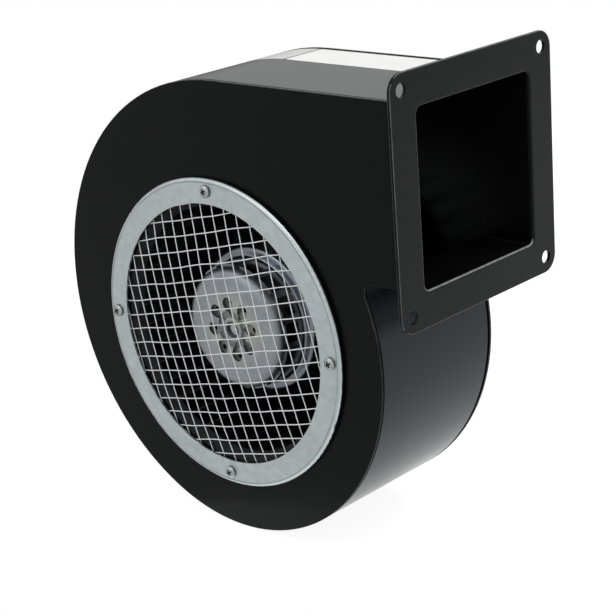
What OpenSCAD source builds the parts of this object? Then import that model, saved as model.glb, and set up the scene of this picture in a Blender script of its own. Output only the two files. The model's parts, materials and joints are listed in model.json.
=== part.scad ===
// Single-inlet radial blower with a sheet-steel scroll, a square outlet flange, a wire guard over
// the inlet and a drum impeller carried by an external-rotor motor.
// Origin: centre of the outlet flange's outer face. +X leaves the outlet, +Z is up and the inlet
// faces -Y. Millimetres.

/* [Housing] */
// Width over the two side plates
housing_w = 100; // [96:1:120]
// Height of the outlet duct over the wrap
duct_h = 100; // [90:1:104]
// Distance from the flange face back to the shaft
shaft_back = 154.5; // [146:0.5:180]
// Gap between the impeller and the top of the scroll
top_gap = 59; // [56:0.5:66]
// Thickness of the side plates
plate_t = 1.5; // [1:0.1:2.5]
// Thickness of the scroll wrap
wrap_t = 1.2; // [0.8:0.1:2]
// How far the side plates stand out past the wrap
plate_rim = 1; // [0.4:0.1:2]
// Gap between the impeller and the wrap's lower arc, outside
low_gap = 28.2; // [24:0.2:36]
// Centre of the upper arc, in front of the shaft
high_arc_x = 8; // [2:0.5:14]
// Centre of the upper arc, above the shaft
high_arc_z = 13; // [8:0.5:18]
// Direction in which the two arcs meet, below the level through the shaft
arc_meet = 116; // [100:1:130]
// Outer radius of the bend at the tongue
tongue_r = 7; // [4:0.5:10]

/* [Outlet flange] */
// How far the flange stands out past the duct
flange_w = 19; // [16:0.5:30]
// Thickness of the flange
flange_t = 2; // [1.5:0.1:4]
// Radius of the flange's outer corners
flange_corner_r = 10; // [4:0.5:14]
// Distance from the flange's edge to the middle of a mounting hole
bolt_edge = 9; // [7:0.5:10]
// Diameter of the mounting holes
bolt_hole_d = 7.5; // [4:0.1:9]
// Radius of the opening's corners
opening_corner_r = 4; // [2.5:0.5:8]
// Radius of the rounded lip round the opening
lip_r = 1.6; // [0.5:0.1:1.9]

/* [Inlet] */
// How far the clamping ring laps over the wire guard
guard_lap = 5; // [3:0.5:8]
// Width of the clamping ring outside its screws' pitch circle
ring_edge = 7.25; // [6.5:0.05:10]
// Sheet thickness of the clamping ring
ring_t = 1.2; // [0.8:0.1:1.6]
// Radius of the ring's turned-down outer edge
ring_edge_r = 2; // [1.7:0.1:2.5]
// Number of ring screws
ring_screw_count = 4; // [3:1:8]
// Thread diameter of the ring screws
ring_screw_d = 4; // [3:0.5:4]
// Bend radius of the inlet nozzle drawn from the side plate
nozzle_r = 5; // [3:0.5:6]
// Gap between the inlet nozzle and the blades' inner edge
nozzle_gap = 2.5; // [1.5:0.1:5]

/* [Wire guard] */
// Diameter of a wire
wire_d = 0.9; // [0.6:0.1:1.2]
// Distance between neighbouring wires
wire_pitch = 9.05; // [6:0.05:14]
// How far the middle of the guard is bowed out
guard_bow = 6.5; // [3:0.5:10]
// Angle by which the wires are turned against the duct
guard_turn = 13.3; // [0:0.1:30]
// Sideways place of the first upright wire
upright_shift = 1.4; // [-4:0.1:4]
// Sideways place of the first level wire
level_shift = -1.7; // [-4:0.1:4]

/* [Impeller] */
// Outer diameter of the impeller
impeller_d = 184; // [174:1:196]
// Distance between the side plate's outer face and the impeller
impeller_inset = 9.5; // [8.5:0.5:12]
// Distance between the impeller and the motor side plate's outer face
impeller_back = 12; // [11:0.5:20]
// Depth of the blades, measured along a radius
blade_depth = 12; // [8:0.5:12]
// Number of blades
blade_count = 40; // [24:1:48]
// Thickness of a blade
blade_t = 0.8; // [0.5:0.1:1.2]
// Bend radius of a blade
blade_bend_r = 13; // [12.5:0.5:18]
// Sheet thickness of the hub and the end ring
impeller_t = 1.2; // [0.8:0.1:1.6]
// Width of the hub's crown round the rotor
crown_w = 8.5; // [7.5:0.5:14]
// Distance from the motor's front face back to the hub's crown
crown_back = 21.5; // [20:0.5:25]
// Length of the hub's collar on the rotor
collar_len = 15; // [8:0.5:15.5]
// Number of fingers on the collar
finger_count = 15; // [8:1:20]
// Width of the slots between the fingers
finger_gap = 4.5; // [2:0.5:6]

/* [Motor] */
// Outer diameter of the rotor
rotor_d = 75; // [72:0.5:78]
// Gap between the rotor and the electronics chamber
rotor_gap = 6.5; // [5.5:0.5:9]
// Length of the rotor
rotor_len = 60.5; // [57:0.5:62]
// Thickness of the rotor's wall
rotor_wall = 2.5; // [2:0.1:3]
// Thickness of the rotor's front
rotor_front_t = 5; // [4:0.1:6]
// Rounding of the rotor's front edge
rotor_edge_r = 6; // [3:0.5:6.5]
// Number of recesses in the rotor's face
recess_count = 8; // [6:1:10]
// Radius of the ring on which the recesses lie
recess_ring_r = 15.8; // [15:0.1:19]
// Diameter of the shaft
shaft_d = 8; // [6:0.5:8]
// Distance from the rotor's face back to the middle of the stator
stator_depth = 36.5; // [35.5:0.5:38.5]
// Length of the laminated stator
stack_len = 28; // [20:1:30]
// Number of stator teeth
tooth_count = 12; // [9:3:15]
// Length of a stator tooth
tooth_len = 10.95; // [9:0.05:11.5]
// Width of a stator tooth
tooth_w = 5; // [3:0.1:5]
// Number of magnets
magnet_count = 8; // [4:2:14]
// Thickness of a magnet
magnet_t = 3; // [2:0.1:3.2]
// Radial gap between stator and magnets
air_gap = 0.7; // [0.4:0.1:1]
// Thickness of the motor flange
motor_flange_t = 5; // [4:0.5:8]
// Diameter of the motor flange's spigot in the side plate
spigot_d = 60; // [50:1:66]
// Width of the motor flange outside its screws' pitch circle
motor_flange_edge = 6; // [5:0.5:10]
// Thickness of the motor gasket
gasket_t = 1; // [0.5:0.1:2]
// Outer diameter of the electronics chamber's wall
chamber_d = 80; // [78:0.5:80]
// Depth of the electronics chamber
chamber_len = 18; // [16:0.5:20]

/* [Bearings] */
// Outer diameter of a bearing
bearing_d = 22; // [20:0.5:24]
// Width of a bearing
bearing_w = 7; // [6:0.5:8]
// Diameter of a bearing ball
ball_d = 4; // [3:0.1:4]
// Number of balls in a bearing
ball_count = 7; // [6:1:7]
// Wall of the bearing tube round a bearing
tube_wall = 2.5; // [2:0.1:3]

/* [Clearances] */
// Clearance all round between a screw and its hole
screw_clear = 0.25; // [0.1:0.05:0.5]
// Clearance between pieces that are fitted together
fit_clear = 0.05; // [0.02:0.01:0.1]
// Clearance round a bearing ball
ball_clear = 0.03; // [0.01:0.01:0.05]

/* [Hidden] */

// Everything but the flange is drawn on the shaft: x to the outlet, y up, z towards the inlet.
front_z = housing_w / 2;
inner_z = front_z - plate_t;
out_x = shaft_back - flange_t;
impeller_r = impeller_d / 2;
blade_in_r = impeller_r - blade_depth;
duct_top = impeller_r + top_gap;
duct_floor = duct_top - duct_h;
shaft_drop = (duct_top + duct_floor) / 2;
low_arc_r = impeller_r + low_gap;

// The scroll is two arcs that meet in one direction, and a bend at the tongue.
high_arc_r = duct_top - high_arc_z;
high_centre = [high_arc_x, high_arc_z];
meet_way = [cos(arc_meet), -sin(arc_meet)];
low_centre = high_centre + (high_arc_r - low_arc_r) * meet_way;
bend_y = duct_floor - tongue_r;
bend_x = low_centre[0] + sqrt(pow(low_arc_r + tongue_r, 2) - pow(bend_y - low_centre[1], 2));
bend_centre = [bend_x, bend_y];
bend_angle = atan2(bend_y - low_centre[1], bend_x - low_centre[0]);
arc_step = 3;

// Flange: the duct's size and a border all round.
flange_size = [housing_w, duct_h] + 2 * [flange_w, flange_w];
bolt_spacing = flange_size - 2 * [bolt_edge, bolt_edge];

// Inlet, from the blades outwards: nozzle, screws just outside its bend, guard inside the screws.
nut_d = 2 * ring_screw_d;
nut_len = ring_screw_d;
nut_gap = 1.25;
guard_gap = 0.75;
nozzle_in_r = blade_in_r - nozzle_gap - plate_t;
nozzle_len = nozzle_r + 1.5;
nozzle_hole_r = nozzle_in_r + plate_t + nozzle_r;
ring_screw_r = nozzle_hole_r + nut_gap + nut_d / 2;
guard_r = ring_screw_r - ring_screw_d / 2 - guard_gap;
inlet_r = guard_r - guard_lap;
ring_r = ring_screw_r + ring_edge;

// Inlet, along the shaft: plate, lower and upper wires, ring.
guard_stack = 2 * wire_d + fit_clear;
bow_r = (guard_r * guard_r + guard_bow * guard_bow) / (2 * guard_bow);
guard_lift = sqrt(bow_r * bow_r - inlet_r * inlet_r) - sqrt(bow_r * bow_r - guard_r * guard_r);
ring_seat = front_z + guard_stack + guard_lift + fit_clear;
ring_face = ring_seat + ring_t;
screw_head_d = 1.9 * ring_screw_d;
screw_head_h = 0.6 * ring_screw_d;
screw_end = 0.5;
screw_len = ring_face - inner_z + nut_len + screw_end;

// Impeller, along the shaft.
blade_front = front_z - impeller_inset - impeller_t;
blade_rear = -front_z + impeller_back + impeller_t;
rim_r = impeller_r + 0.6;
crown_r = rotor_d / 2 + crown_w;
hub_bend_r = 2;

// Motor, along the shaft.
flange_back = -inner_z + gasket_t;
flange_front = flange_back + motor_flange_t;
chamber_front = flange_front + chamber_len;
rotor_end = chamber_front + rotor_gap;
rotor_face = rotor_end + rotor_len;
rotor_in_r = rotor_d / 2 - rotor_wall;
crown_z = rotor_face - crown_back;
flux_t = 1.8;
magnet_out_r = rotor_in_r - flux_t - fit_clear;
stator_r = magnet_out_r - magnet_t - air_gap;
stator_mid = rotor_face - stator_depth;
stack_top = stator_mid + stack_len / 2;
stack_end = stator_mid - stack_len / 2;
yoke_r = stator_r - tooth_len;
shoe_t = 2.5;
liner_t = 0.6;
cap_t = 1.4;
coil_head = 5.5;
chamber_wall = 3;
motor_screw_d = 4;
motor_screw_r = (chamber_d + motor_screw_d) / 2;
motor_flange_r = motor_screw_r + motor_flange_edge;
board_t = 1.6;
board_z = chamber_front - 3 - board_t;
board_r = chamber_d / 2 - chamber_wall - 0.5;
board_hole_r = bearing_d / 2 + tube_wall + 1.5;
post_d = 6;
post_ring_r = board_r - 4.5;
board_screw_d = 2.5;
spigot_z = -front_z - 1;
board_screw_len = 6;
capacitor_d = 8;
capacitor_len = 10;
transistor = [6, 5, 2.3];
sensor = [1.6, 4, 3];
motor_screw_len = 8;
washer_t = 0.8;
washer_d = 9;
grommet_ring_r = 19;
grommet_d = 9;

// Bearings and shaft, along the shaft.
shim_t = 0.8;
front_bearing_z = stack_top + 1;
rear_bearing_z = flange_front + 10;
tube_front = front_bearing_z + bearing_w;
boss_end = tube_front + shim_t;
boss_r = shaft_d / 2 + 3.5;
ring_gap_r = (shaft_d + bearing_d) / 4;
land = 1.5;
spring_t = 1.2;
shaft_front = rotor_face - 1.5;
shaft_rear = rear_bearing_z - 3;

// Puts children on the shaft, with z towards the inlet.
module on_shaft(z = 0) {
  translate([-shaft_back, 0, -shaft_drop]) rotate([90, 0, 0]) translate([0, 0, z]) children();
}

// Copies children round the shaft.
module around(count, radius = 0, start = 0) {
  for (i = [0:count - 1]) rotate(start + i * 360 / count) translate([radius, 0, 0]) children();
}

// A flat ring with its back at z = 0.
module flat_ring(outer_r, inner_r, thickness) {
  difference() {
    cylinder(r = outer_r, h = thickness, $fn = 96);
    translate([0, 0, -1]) cylinder(r = inner_r, h = thickness + 2, $fn = 96);
  }
}

// Points along an arc, without its first one.
function arc(centre, radius, from, to) =
  let (steps = ceil(abs(to - from) / arc_step))
  [for (i = [1:steps]) let (way = from + (to - from) * i / steps) centre + radius * [cos(way), sin(way)]];

// The wrap's outline, set out by grow, from the duct's top round the scroll to its floor at end_x.
function scroll_path(grow, end_x) = concat(
  [[end_x, duct_top + grow], [high_arc_x, duct_top + grow]],
  arc(high_centre, high_arc_r + grow, 90, 360 - arc_meet),
  arc(low_centre, low_arc_r + grow, 360 - arc_meet, 360 + bend_angle),
  arc(bend_centre, tongue_r - grow, 180 + bend_angle, 90),
  [[end_x, duct_floor - grow]]);

// Cross recess for a screw driver, cut down from z = 0.
module cross_recess(size) {
  for (turn = [0, 90]) rotate(turn) {
    translate([-size / 2, -size / 10, -size / 2]) cube([size, size / 5, size]);
  }
}

// Pan-head screw: the head sits on z = 0 and the shank points down.
module pan_screw(thread_d, length, head_d, head_h) {
  edge = head_h * 0.45;
  dome_r = (pow(head_d / 2, 2) + pow(head_h - edge, 2)) / (2 * (head_h - edge));
  difference() {
    union() {
      intersection() {
        cylinder(d = head_d, h = head_h + 1, $fn = 48);
        translate([0, 0, head_h - dome_r]) sphere(r = dome_r, $fn = 96);
      }
      translate([0, 0, -length]) cylinder(d = thread_d, h = length + edge, $fn = 32);
    }
    translate([0, 0, head_h]) cross_recess(head_d * 0.5);
  }
}

// ---- Housing ----

module inlet_side_plate() {
  color("#232426") on_shaft() {
    difference() {
      translate([0, 0, inner_z]) linear_extrude(plate_t) polygon(scroll_path(plate_rim, out_x));
      translate([0, 0, inner_z - 1]) cylinder(r = nozzle_hole_r, h = plate_t + 2, $fn = 180);
      around(ring_screw_count, ring_screw_r) {
        translate([0, 0, inner_z - 1]) cylinder(d = nut_d - 2, h = plate_t + 2, $fn = 32);
      }
    }
    nozzle();
  }
}

// Rounded inlet nozzle that leads the air into the impeller.
module nozzle() {
  rotate_extrude($fn = 180) {
    translate([nozzle_hole_r, inner_z - nozzle_r]) difference() {
      intersection() {
        circle(r = nozzle_r + plate_t, $fn = 64);
        translate([-nozzle_r - plate_t, 0]) square(nozzle_r + plate_t);
      }
      circle(r = nozzle_r, $fn = 64);
    }
    translate([nozzle_in_r, inner_z - nozzle_len]) square([plate_t, nozzle_len - nozzle_r]);
  }
}

module motor_side_plate() {
  color("#232426") on_shaft(-front_z) difference() {
    linear_extrude(plate_t) polygon(scroll_path(plate_rim, out_x));
    translate([0, 0, -1]) cylinder(d = spigot_d + 2 * screw_clear, h = plate_t + 2, $fn = 128);
    around(4, motor_screw_r, 45) {
      translate([0, 0, -1]) cylinder(d = motor_screw_d + 2 * screw_clear, h = plate_t + 2, $fn = 32);
    }
  }
}

module scroll_wrap() {
  outside = scroll_path(0, out_x);
  inside = scroll_path(-wrap_t, out_x);
  color("#2b2d2f") on_shaft(-inner_z) linear_extrude(2 * inner_z) {
    polygon(concat(outside, [for (i = [len(inside) - 1:-1:0]) inside[i]]));
  }
}

// Square with round corners, centred.
module round_square(size, corner_r) {
  half = [size[0] / 2 - corner_r, size[1] / 2 - corner_r];
  square([size[0], size[1] - 2 * corner_r], center = true);
  square([size[0] - 2 * corner_r, size[1]], center = true);
  for (x = [-1, 1], y = [-1, 1]) translate([x * half[0], y * half[1]]) circle(r = corner_r, $fn = 64);
}

module outlet_flange() {
  opening = [2 * inner_z, duct_h - 2 * wrap_t];
  color("#3a3b3d") rotate([90, 0, 90]) translate([0, 0, -flange_t]) difference() {
    linear_extrude(flange_t) round_square(flange_size, flange_corner_r);
    translate([0, 0, -1]) linear_extrude(flange_t + 2) round_square(opening, opening_corner_r);
    for (x = [-1, 1], y = [-1, 1]) translate([x * bolt_spacing[0] / 2, y * bolt_spacing[1] / 2, -1]) {
      cylinder(d = bolt_hole_d, h = flange_t + 2, $fn = 64);
    }
    translate([0, 0, flange_t]) lip_cut(opening);
  }
}

// What rounds the lip off: an arc's profile led round the opening.
module lip_cut(opening) {
  straight = [opening[0] / 2 - opening_corner_r, opening[1] / 2 - opening_corner_r];
  for (turn = [0, 180]) rotate(turn) {
    translate([opening[0] / 2, straight[1], 0]) rotate([90, 0, 0]) {
      linear_extrude(2 * straight[1]) lip_profile();
    }
    translate([straight[0], opening[1] / 2, 0]) rotate([90, 0, 90]) mirror([0, 0, 1]) {
      linear_extrude(2 * straight[0]) lip_profile();
    }
    for (side = [0, 1]) mirror([0, side, 0]) translate([straight[0], straight[1], 0]) {
      rotate_extrude(angle = 90, $fn = 64) translate([opening_corner_r, 0]) lip_profile();
    }
  }
}

// Corner left outside a quarter circle that touches both faces of the lip.
module lip_profile() {
  difference() {
    translate([-1, -lip_r]) square([1 + lip_r, lip_r + 1]);
    translate([lip_r, -lip_r]) circle(r = lip_r, $fn = 48);
  }
}

// ---- Inlet ----

module inlet_ring() {
  height = ring_face - front_z;
  color("#c3c8ca") on_shaft(front_z) difference() {
    rotate_extrude($fn = 180) {
      translate([inlet_r, height - ring_t]) square([ring_r - ring_edge_r - inlet_r, ring_t]);
      translate([ring_r - ring_t, 0]) square([ring_t, height - ring_edge_r]);
      translate([ring_r - ring_edge_r, height - ring_edge_r]) intersection() {
        difference() {
          circle(r = ring_edge_r, $fn = 48);
          circle(r = ring_edge_r - ring_t, $fn = 48);
        }
        square(2 * ring_edge_r);
      }
    }
    around(ring_screw_count, ring_screw_r) {
      cylinder(d = ring_screw_d + 2 * screw_clear, h = height + 1, $fn = 32);
    }
  }
}

// One layer of wires, bent to the bow; the wires run along x.
module wire_layer(lift, shift) {
  steps = floor((guard_r - abs(shift)) / wire_pitch);
  drop = sqrt(bow_r * bow_r - guard_r * guard_r);
  for (i = [-steps:steps]) {
    offset_y = i * wire_pitch + shift;
    half_len = sqrt(guard_r * guard_r - offset_y * offset_y) - wire_d;
    arc_r = sqrt(bow_r * bow_r - offset_y * offset_y);
    half_angle = asin(half_len / arc_r);
    translate([0, offset_y, lift - drop]) rotate([90, 0, 0]) rotate(90 - half_angle) {
      rotate_extrude(angle = 2 * half_angle, $fn = 720) translate([arc_r, 0]) {
        circle(d = wire_d, $fn = 16);
      }
    }
  }
}

module wire_guard() {
  color("#d4d8da") on_shaft(front_z) rotate(guard_turn) {
    rotate(90) wire_layer(wire_d / 2, -upright_shift);
    wire_layer(wire_d * 1.5 + fit_clear, level_shift);
  }
}

module ring_screws() {
  color("#b9bdbf") on_shaft(ring_face) around(ring_screw_count, ring_screw_r) rotate(30) {
    pan_screw(ring_screw_d, screw_len, screw_head_d, screw_head_h);
  }
}

module ring_clinch_nuts() {
  color("#a9adaf") on_shaft() around(ring_screw_count, ring_screw_r) {
    translate([0, 0, inner_z - nut_len]) difference() {
      union() {
        cylinder(d = nut_d, h = nut_len, $fn = 48);
        cylinder(d = nut_d - 2 - 2 * fit_clear, h = nut_len + plate_t, $fn = 32);
      }
      translate([0, 0, -1]) {
        cylinder(d = ring_screw_d + 2 * fit_clear, h = nut_len + plate_t + 2, $fn = 32);
      }
    }
  }
}

// ---- Motor, standing ----

module motor_flange() {
  tube_r = bearing_d / 2 + tube_wall;
  color("#b3b6b8") on_shaft() difference() {
    union() {
      translate([0, 0, flange_back]) cylinder(r = motor_flange_r, h = motor_flange_t, $fn = 128);
      translate([0, 0, spigot_z]) cylinder(d = spigot_d, h = flange_back - spigot_z + 1, $fn = 128);
      translate([0, 0, flange_front - 1]) {
        flat_ring(chamber_d / 2, chamber_d / 2 - chamber_wall, chamber_len + 1);
      }
      translate([0, 0, flange_back]) cylinder(r = tube_r, h = tube_front - flange_back, $fn = 96);
      around(3, post_ring_r, 90) {
        translate([0, 0, flange_front - 1]) cylinder(d = post_d, h = board_z - flange_front + 1, $fn = 32);
      }
    }
    bearing_seats();
    around(4, motor_screw_r, 45) {
      translate([0, 0, flange_back - 1]) {
        cylinder(d = motor_screw_d + 2 * fit_clear, h = motor_flange_t + 2, $fn = 32);
      }
    }
    around(3, post_ring_r, 90) {
      translate([0, 0, board_z - 8]) cylinder(d = board_screw_d + 2 * fit_clear, h = 9, $fn = 24);
    }
    translate([grommet_ring_r, 0, spigot_z - 1]) {
      cylinder(d = grommet_d, h = flange_front - spigot_z + 2, $fn = 48);
    }
  }
}

// Bore of the bearing tube: two seats and a narrower waist between them.
module bearing_seats() {
  seat_r = bearing_d / 2 + fit_clear;
  translate([0, 0, front_bearing_z]) cylinder(r = seat_r, h = bearing_w + 1, $fn = 96);
  translate([0, 0, rear_bearing_z - 1]) {
    cylinder(r = bearing_d / 2 - land, h = front_bearing_z - rear_bearing_z + 2, $fn = 96);
  }
  translate([0, 0, flange_front]) {
    cylinder(r = seat_r, h = rear_bearing_z + bearing_w + spring_t - flange_front, $fn = 96);
  }
}

module motor_screws() {
  color("#9da1a3") on_shaft(-front_z - washer_t) rotate([180, 0, 0]) around(4, motor_screw_r, 45) {
    pan_screw(motor_screw_d, motor_screw_len, 1.9 * motor_screw_d, 0.65 * motor_screw_d);
  }
}

module motor_washers() {
  color("#a9adaf") on_shaft(-front_z - washer_t) around(4, motor_screw_r, 45) {
    flat_ring(washer_d / 2, motor_screw_d / 2 + screw_clear, washer_t);
  }
}

module motor_gasket() {
  color("#2e2e30") on_shaft(-inner_z) difference() {
    flat_ring(motor_flange_r, spigot_d / 2 + screw_clear, gasket_t);
    around(4, motor_screw_r, 45) {
      translate([0, 0, -1]) cylinder(d = motor_screw_d + 2 * screw_clear, h = gasket_t + 2, $fn = 32);
    }
  }
}

module cable_grommet() {
  color("#1d1d1e") on_shaft() translate([grommet_ring_r, 0, spigot_z - 1.5]) difference() {
    union() {
      cylinder(d = grommet_d + 3, h = 1.5, $fn = 48);
      cylinder(d = grommet_d - 2 * fit_clear, h = flange_front - spigot_z + 1.5, $fn = 48);
    }
    translate([0, 0, -1]) cylinder(d = grommet_d - 4, h = flange_front - spigot_z + 4, $fn = 48);
  }
}

// Section of the stator: yoke, teeth and pole shoes, set out by grow.
module stator_section(grow) {
  shoe_angle = 360 / tooth_count - asin((3 - 2 * grow) / stator_r);
  circle(r = yoke_r + grow, $fn = 96);
  around(tooth_count) {
    translate([0, -tooth_w / 2 - grow]) square([stator_r - shoe_t / 2, tooth_w + 2 * grow]);
    intersection() {
      difference() {
        circle(r = stator_r, $fn = 96);
        circle(r = stator_r - shoe_t - grow, $fn = 96);
      }
      polygon([[0, 0], 2 * stator_r * [cos(shoe_angle / 2), sin(shoe_angle / 2)],
        2 * stator_r * [cos(shoe_angle / 2), -sin(shoe_angle / 2)]]);
    }
  }
}

module stator_bore() {
  translate([0, 0, -1]) cylinder(r = bearing_d / 2 + tube_wall + fit_clear, h = stack_len + 20, $fn = 96);
}

module stator_core() {
  color("#7d8083") on_shaft(stack_end) difference() {
    linear_extrude(stack_len) stator_section(0);
    stator_bore();
  }
}

// Plastic cap on one end of the stack, with liners that reach half way into the slots.
module insulator() {
  difference() {
    linear_extrude(cap_t + stack_len / 2 - fit_clear) stator_section(liner_t);
    translate([0, 0, -1]) linear_extrude(stack_len / 2 + 1) stator_section(fit_clear);
    stator_bore();
    translate([0, 0, -1]) flat_ring(stator_r + 2, stator_r - shoe_t / 2, stack_len / 2 + 1);
  }
}

module front_insulator() {
  color("#e8e4d6") on_shaft(stator_mid + fit_clear) insulator();
}

module rear_insulator() {
  color("#e8e4d6") on_shaft(stator_mid - fit_clear) mirror([0, 0, 1]) insulator();
}

// Twelve coils, one round each tooth.
module stator_windings() {
  half = stack_len / 2 + cap_t + fit_clear;
  inner_r = yoke_r + liner_t + 0.2;
  outer_r = stator_r - shoe_t - liner_t - 0.2;
  slot = tooth_w / 2 + liner_t + fit_clear;
  spread = 180 / tooth_count - 1.5;
  color("#b5652b") on_shaft(stator_mid) around(tooth_count) difference() {
    translate([0, 0, -half - coil_head]) linear_extrude(2 * (half + coil_head)) intersection() {
      difference() {
        circle(r = outer_r, $fn = 96);
        circle(r = inner_r, $fn = 96);
      }
      polygon([
        [0, 0],
        2 * outer_r * [cos(spread), sin(spread)],
        2 * outer_r * [cos(spread), -sin(spread)],
      ]);
    }
    translate([0, -slot, -half]) cube([outer_r + 1, 2 * slot, 2 * half]);
  }
}

module circuit_board() {
  color("#2f6b3a") on_shaft(board_z) difference() {
    flat_ring(board_r, board_hole_r, board_t);
    around(3, post_ring_r, 90) {
      translate([0, 0, -1]) cylinder(d = board_screw_d + 2 * fit_clear, h = board_t + 2, $fn = 24);
    }
  }
}

module board_screws() {
  color("#9da1a3") on_shaft(board_z + board_t) around(3, post_ring_r, 90) {
    pan_screw(board_screw_d, board_screw_len, 1.84 * board_screw_d, 0.64 * board_screw_d);
  }
}

module capacitors() {
  color("#26324a") on_shaft(board_z - capacitor_len) around(2, board_r - capacitor_d / 2 - 5, 15) {
    cylinder(d = capacitor_d, h = capacitor_len, $fn = 48);
  }
}

module power_transistors() {
  color("#1f1f20") on_shaft(board_z - transistor[2]) around(6, board_r - transistor[0] / 2 - 5, 50) {
    translate([-transistor[0] / 2, -transistor[1] / 2, 0]) cube(transistor);
  }
}

module hall_sensors() {
  color("#1f1f20") on_shaft(board_z + board_t) around(3, board_r - sensor[0] / 2 - 1.9, 20) {
    translate([-sensor[0] / 2, -sensor[1] / 2, 0]) cube(sensor);
  }
}

// ---- Bearings ----

// One ring of a ball bearing, with its groove.
module race(outer_r, inner_r) {
  difference() {
    flat_ring(outer_r, inner_r, bearing_w);
    translate([0, 0, bearing_w / 2]) rotate_extrude($fn = 96) translate([ring_gap_r, 0]) {
      circle(d = ball_d + 2 * ball_clear, $fn = 48);
    }
  }
}

module outer_race() {
  color("#c9cccf") race(bearing_d / 2, ring_gap_r + ball_d * 0.3);
}

module inner_race() {
  color("#c9cccf") race(ring_gap_r - ball_d * 0.3, shaft_d / 2 + fit_clear / 5);
}

module balls() {
  color("#e1e4e6") translate([0, 0, bearing_w / 2]) around(ball_count, ring_gap_r) {
    sphere(d = ball_d, $fn = 48);
  }
}

module front_bearing_outer_ring() {
  on_shaft(front_bearing_z) outer_race();
}

module rear_bearing_outer_ring() {
  on_shaft(rear_bearing_z) outer_race();
}

module front_bearing_inner_ring() {
  on_shaft(front_bearing_z) inner_race();
}

module rear_bearing_inner_ring() {
  on_shaft(rear_bearing_z) inner_race();
}

module front_bearing_balls() {
  on_shaft(front_bearing_z) balls();
}

module rear_bearing_balls() {
  on_shaft(rear_bearing_z) balls();
}

// Conical spring washer that loads the rear bearing's outer ring.
module preload_spring() {
  outer_r = bearing_d / 2 - 0.3;
  inner_r = bearing_d / 2 - 2.2;
  color("#8d9194") on_shaft(rear_bearing_z + bearing_w) rotate_extrude($fn = 96) {
    polygon([[outer_r, 0], [outer_r, 0.4], [inner_r, spring_t], [inner_r, spring_t - 0.4]]);
  }
}

// ---- Rotor ----

// Teardrop recess, pointed towards the shaft.
module recess_section() {
  circle(d = 8, $fn = 48);
  polygon([[-8, 0], [-1.6, 3.66], [-1.6, -3.66]]);
}

// Half section of the rotor: a cup with a rounded front edge.
module rotor_section() {
  inside = rotor_face - rotor_front_t;
  edge = [rotor_d / 2 - rotor_edge_r, rotor_face - rotor_edge_r];
  polygon(concat(
    [[shaft_d / 4, inside], [shaft_d / 4, rotor_face]],
    [for (way = [90:-7.5:0]) edge + rotor_edge_r * [cos(way), sin(way)]],
    [[rotor_d / 2, rotor_end], [rotor_in_r, rotor_end]],
    [[rotor_in_r, inside - 2], [rotor_in_r - 2, inside]]));
}

module rotor_cup() {
  color("#aeb2b6") on_shaft() difference() {
    union() {
      rotate_extrude($fn = 128) rotor_section();
      translate([0, 0, boss_end]) cylinder(r = boss_r, h = rotor_face - boss_end, $fn = 64);
    }
    translate([0, 0, boss_end - 1]) cylinder(d = shaft_d + fit_clear / 5, h = rotor_len, $fn = 64);
    translate([0, 0, rotor_face - 1.2]) flat_ring(boss_r + 4, boss_r, 2);
    around(recess_count, recess_ring_r, 8) {
      translate([0, 0, rotor_face - 2.2]) linear_extrude(3) recess_section();
      translate([1, 0, rotor_face - rotor_front_t - 1]) cylinder(d = 3.2, h = rotor_front_t, $fn = 24);
    }
  }
}

module flux_ring() {
  color("#6f7376") on_shaft(rotor_end + 4) {
    flat_ring(rotor_in_r - fit_clear, magnet_out_r + fit_clear / 2, rotor_len - rotor_front_t - 6);
  }
}

module magnets() {
  span = 180 / magnet_count - 1.2;
  length = stack_len + 6;
  color("#4b4d50") on_shaft(stator_mid - length / 2) around(magnet_count) {
    linear_extrude(length) intersection() {
      difference() {
        circle(r = magnet_out_r, $fn = 96);
        circle(r = magnet_out_r - magnet_t, $fn = 96);
      }
      polygon([[0, 0], 2 * magnet_out_r * [cos(span), sin(span)], 2 * magnet_out_r * [1 / cos(span), 0],
        2 * magnet_out_r * [cos(span), -sin(span)]]);
    }
  }
}

module shaft() {
  groove_z = rear_bearing_z - 1.1;
  color("#c4c8cb") on_shaft() difference() {
    translate([0, 0, shaft_rear]) cylinder(d = shaft_d, h = shaft_front - shaft_rear, $fn = 64);
    translate([0, 0, groove_z]) flat_ring(shaft_d, shaft_d / 2 - 0.6, 1.1);
  }
}

module shim_washer() {
  color("#c9b26a") on_shaft(tube_front) {
    flat_ring(ring_gap_r - ball_d * 0.3, shaft_d / 2 + fit_clear, shim_t);
  }
}

module retaining_ring() {
  color("#7b7f82") on_shaft(rear_bearing_z - 1.05) difference() {
    flat_ring(shaft_d / 2 + 2.4, shaft_d / 2 - 0.55, 1);
    translate([0, -shaft_d * 0.35, -1]) cube([shaft_d, shaft_d * 0.7, 3]);
  }
}

// ---- Impeller ----

// Hub: a slotted collar that grips the rotor, a crown round it, and a cone back to the blades' rim.
module impeller_hub() {
  color("#8e8a84") on_shaft() difference() {
    rotate_extrude($fn = 180) hub_section();
    around(finger_count, rotor_d / 2, 15) {
      translate([-1, -finger_gap / 2, crown_z + hub_bend_r + impeller_t]) {
        cube([impeller_t + 2, finger_gap, collar_len]);
      }
    }
  }
}

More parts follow.
